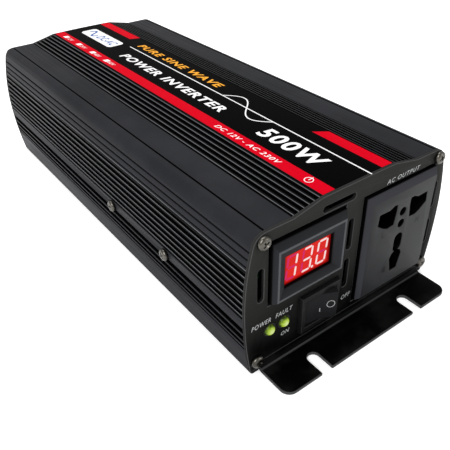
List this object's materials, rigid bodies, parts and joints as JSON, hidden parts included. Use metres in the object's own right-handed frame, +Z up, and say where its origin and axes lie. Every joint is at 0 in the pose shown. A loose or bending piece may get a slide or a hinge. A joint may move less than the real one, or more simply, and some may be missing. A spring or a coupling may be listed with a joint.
{
  "type": "power inverter",
  "caption": "Ribbed aluminium DC to AC inverter box with bent end panels, voltmeter, rocker switch, universal AC socket, rear fan and screw terminals.",
  "frame": {"origin": "middle of the standing plane under the case: centre of the bounding box's bottom face", "axes": "+X right when facing the AC outlet panel, +Y from the AC outlet panel to the battery panel along the case, +Z up"},
  "size_m": [0.1142, 0.275, 0.0702],
  "materials": {
    "case_black": "matt black anodised extrusion, ribs worn lighter on their crests",
    "panel_grey": "satin dark powder coat",
    "screw_steel": "bright zinc-plated cross-recess screws",
    "label_film": "glossy printed film, black with red stripes",
    "moulded_black": "fine-grained moulded plastic",
    "display_red": "lit red filter window",
    "digit_block": "three-digit light block",
    "circuit_green": "solder-masked circuit board",
    "contact_brass": "stamped brass",
    "lamp_green": "tinted clear lamp, lit",
    "fan_plastic": "black fan plastic",
    "guard_wire": "plated wire",
    "terminal_red": "red moulded cap",
    "terminal_black": "black moulded cap",
    "nickel_steel": "nickel-plated turned steel",
    "nylon_white": "white nylon",
    "insulation_film": "thin insulating film",
    "ferrite": "sintered ferrite",
    "coil_tape": "yellow coil tape",
    "copper_wire": "enamelled copper",
    "capacitor_sleeve": "shrink sleeve",
    "bar_aluminium": "sawn aluminium bar",
    "fuse_body": "blade fuse plastic",
    "lead_red": "red lead insulation",
    "lead_black": "black lead insulation"
  },
  "bodies": {
    "chassis": {"case_top": "case_black", "case_base": "case_black", "front_panel": "panel_grey", "rear_panel": "panel_grey", "front_panel_screws": "screw_steel", "rear_panel_screws": "screw_steel", "side_screws_left": "screw_steel", "side_screws_right": "screw_steel", "top_label": "label_film", "display_bezel": "moulded_black", "display_window": "display_red", "display_module": "digit_block", "display_board": "circuit_green", "socket_faceplate": "moulded_black", "socket_body": "moulded_black", "contact_live": "contact_brass", "contact_neutral": "contact_brass", "contact_earth": "contact_brass", "switch_housing": "moulded_black", "switch_terminals": "contact_brass", "power_led": "lamp_green", "fault_led": "lamp_green", "fan_frame": "fan_plastic", "fan_guard": "guard_wire", "fan_screws": "screw_steel", "terminal_insulator_red": "terminal_red", "terminal_insulator_black": "terminal_black", "terminal_stud_red": "nickel_steel", "terminal_stud_black": "nickel_steel", "terminal_nuts": "nickel_steel", "main_board": "circuit_green", "board_standoffs": "nylon_white", "board_screws": "screw_steel", "insulation_sheet": "insulation_film", "front_transformer_core": "ferrite", "front_transformer_coil": "coil_tape", "rear_transformer_core": "ferrite", "rear_transformer_coil": "coil_tape", "filter_choke_core": "ferrite", "filter_choke_winding": "copper_wire", "bus_capacitor": "capacitor_sleeve", "input_capacitors": "capacitor_sleeve", "heat_bar_left": "bar_aluminium", "heat_bar_right": "bar_aluminium", "transistors_left": "moulded_black", "transistors_right": "moulded_black", "control_board": "circuit_green", "alarm_buzzer": "moulded_black", "fuses": "fuse_body", "dc_lead_red": "lead_red", "dc_lead_black": "lead_black", "ac_leads": "lead_black"},
    "rocker": {"switch_rocker": "moulded_black"},
    "fan": {"fan_rotor": "fan_plastic"},
    "red_washer": {"clamp_washer_red": "nickel_steel"},
    "red_knob": {"terminal_knob_red": "terminal_red"},
    "black_washer": {"clamp_washer_black": "nickel_steel"},
    "black_knob": {"terminal_knob_black": "terminal_black"}
  },
  "joints": [
    {"name": "rocker_tilt", "type": "hinge", "parent": "chassis", "child": "rocker", "pos_m": [-0.0177, -0.1196, 0.0179], "axis": [0, 0, 1], "range_deg": [0, 32]},
    {"name": "fan_spin", "type": "hinge", "parent": "chassis", "child": "fan", "pos_m": [0.0236, 0.11, 0.035], "axis": [0, 1, 0], "continuous": true},
    {"name": "red_washer_slide", "type": "slide", "parent": "chassis", "child": "red_washer", "axis": [0, 1, 0], "range_m": [0, 0.003]},
    {"name": "red_knob_turn", "type": "hinge", "parent": "red_washer", "child": "red_knob", "pos_m": [-0.038, 0.125, 0.034], "axis": [0, 1, 0], "range_deg": [0, 1081]},
    {"name": "black_washer_slide", "type": "slide", "parent": "chassis", "child": "black_washer", "axis": [0, 1, 0], "range_m": [0, 0.003]},
    {"name": "black_knob_turn", "type": "hinge", "parent": "black_washer", "child": "black_knob", "pos_m": [-0.014, 0.125, 0.034], "axis": [0, 1, 0], "range_deg": [0, 1081]}
  ],
  "couplings": [
    {"joint": "red_knob_turn", "follows": "red_washer_slide", "rad_per_m": 6283.2},
    {"joint": "black_knob_turn", "follows": "black_washer_slide", "rad_per_m": 6283.2}
  ]
}
